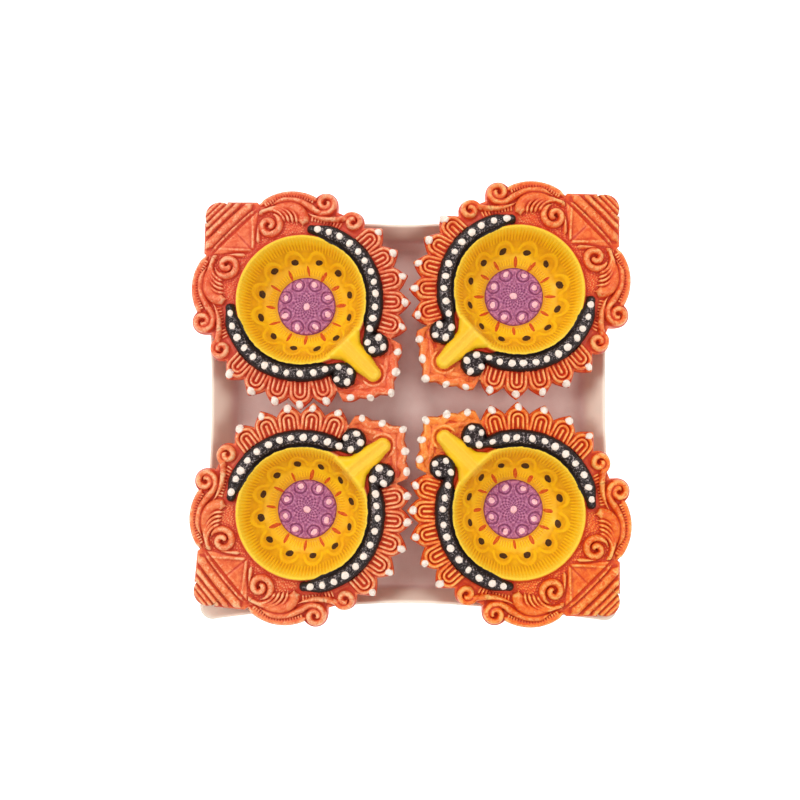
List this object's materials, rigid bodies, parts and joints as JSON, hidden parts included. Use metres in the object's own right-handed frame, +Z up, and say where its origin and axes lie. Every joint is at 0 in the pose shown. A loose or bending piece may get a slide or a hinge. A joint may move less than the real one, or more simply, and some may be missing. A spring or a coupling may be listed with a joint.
{
  "type": "diya oil lamp set",
  "caption": "Painted clay diya oil lamps with scalloped plates, beaded rails and wick spouts, standing corner to corner in a shallow card tray.",
  "frame": {"origin": "centre of the tray's underside, on the surface it rests on", "axes": "+Z up, out of the lamp bowls; +X to the right and +Y away from a viewer who faces the set's front edge; the tray's sides lie along X and Y"},
  "size_m": [0.1694, 0.1707, 0.0259],
  "materials": {
    "card": "smooth pale uncoated card",
    "painted_clay": "hand painted orange, yellow, black and purple over moulded clay, satin varnish, gold dry brushing on the relief",
    "white_paint": "thick dots of off-white paint",
    "pink_paint": "thick dots of pink paint",
    "brown_paint": "dark brown touches of paint",
    "red_paint": "thin brush strokes of red-brown paint"
  },
  "bodies": {
    "tray": {"card_tray": "card"},
    "lamp_back_left": {"lamp_back_left": "painted_clay"},
    "lamp_back_right": {"lamp_back_right": "painted_clay"},
    "lamp_front_left": {"lamp_front_left": "painted_clay"},
    "lamp_front_right": {"lamp_front_right": "painted_clay"}
  },
  "joints": [
    {"name": "lift_back_left", "type": "slide", "parent": "tray", "child": "lamp_back_left", "axis": [0, 0, 1], "range_m": [0, 0.04]},
    {"name": "lift_back_right", "type": "slide", "parent": "tray", "child": "lamp_back_right", "axis": [0, 0, 1], "range_m": [0, 0.04]},
    {"name": "lift_front_left", "type": "slide", "parent": "tray", "child": "lamp_front_left", "axis": [0, 0, 1], "range_m": [0, 0.04]},
    {"name": "lift_front_right", "type": "slide", "parent": "tray", "child": "lamp_front_right", "axis": [0, 0, 1], "range_m": [0, 0.04]}
  ]
}
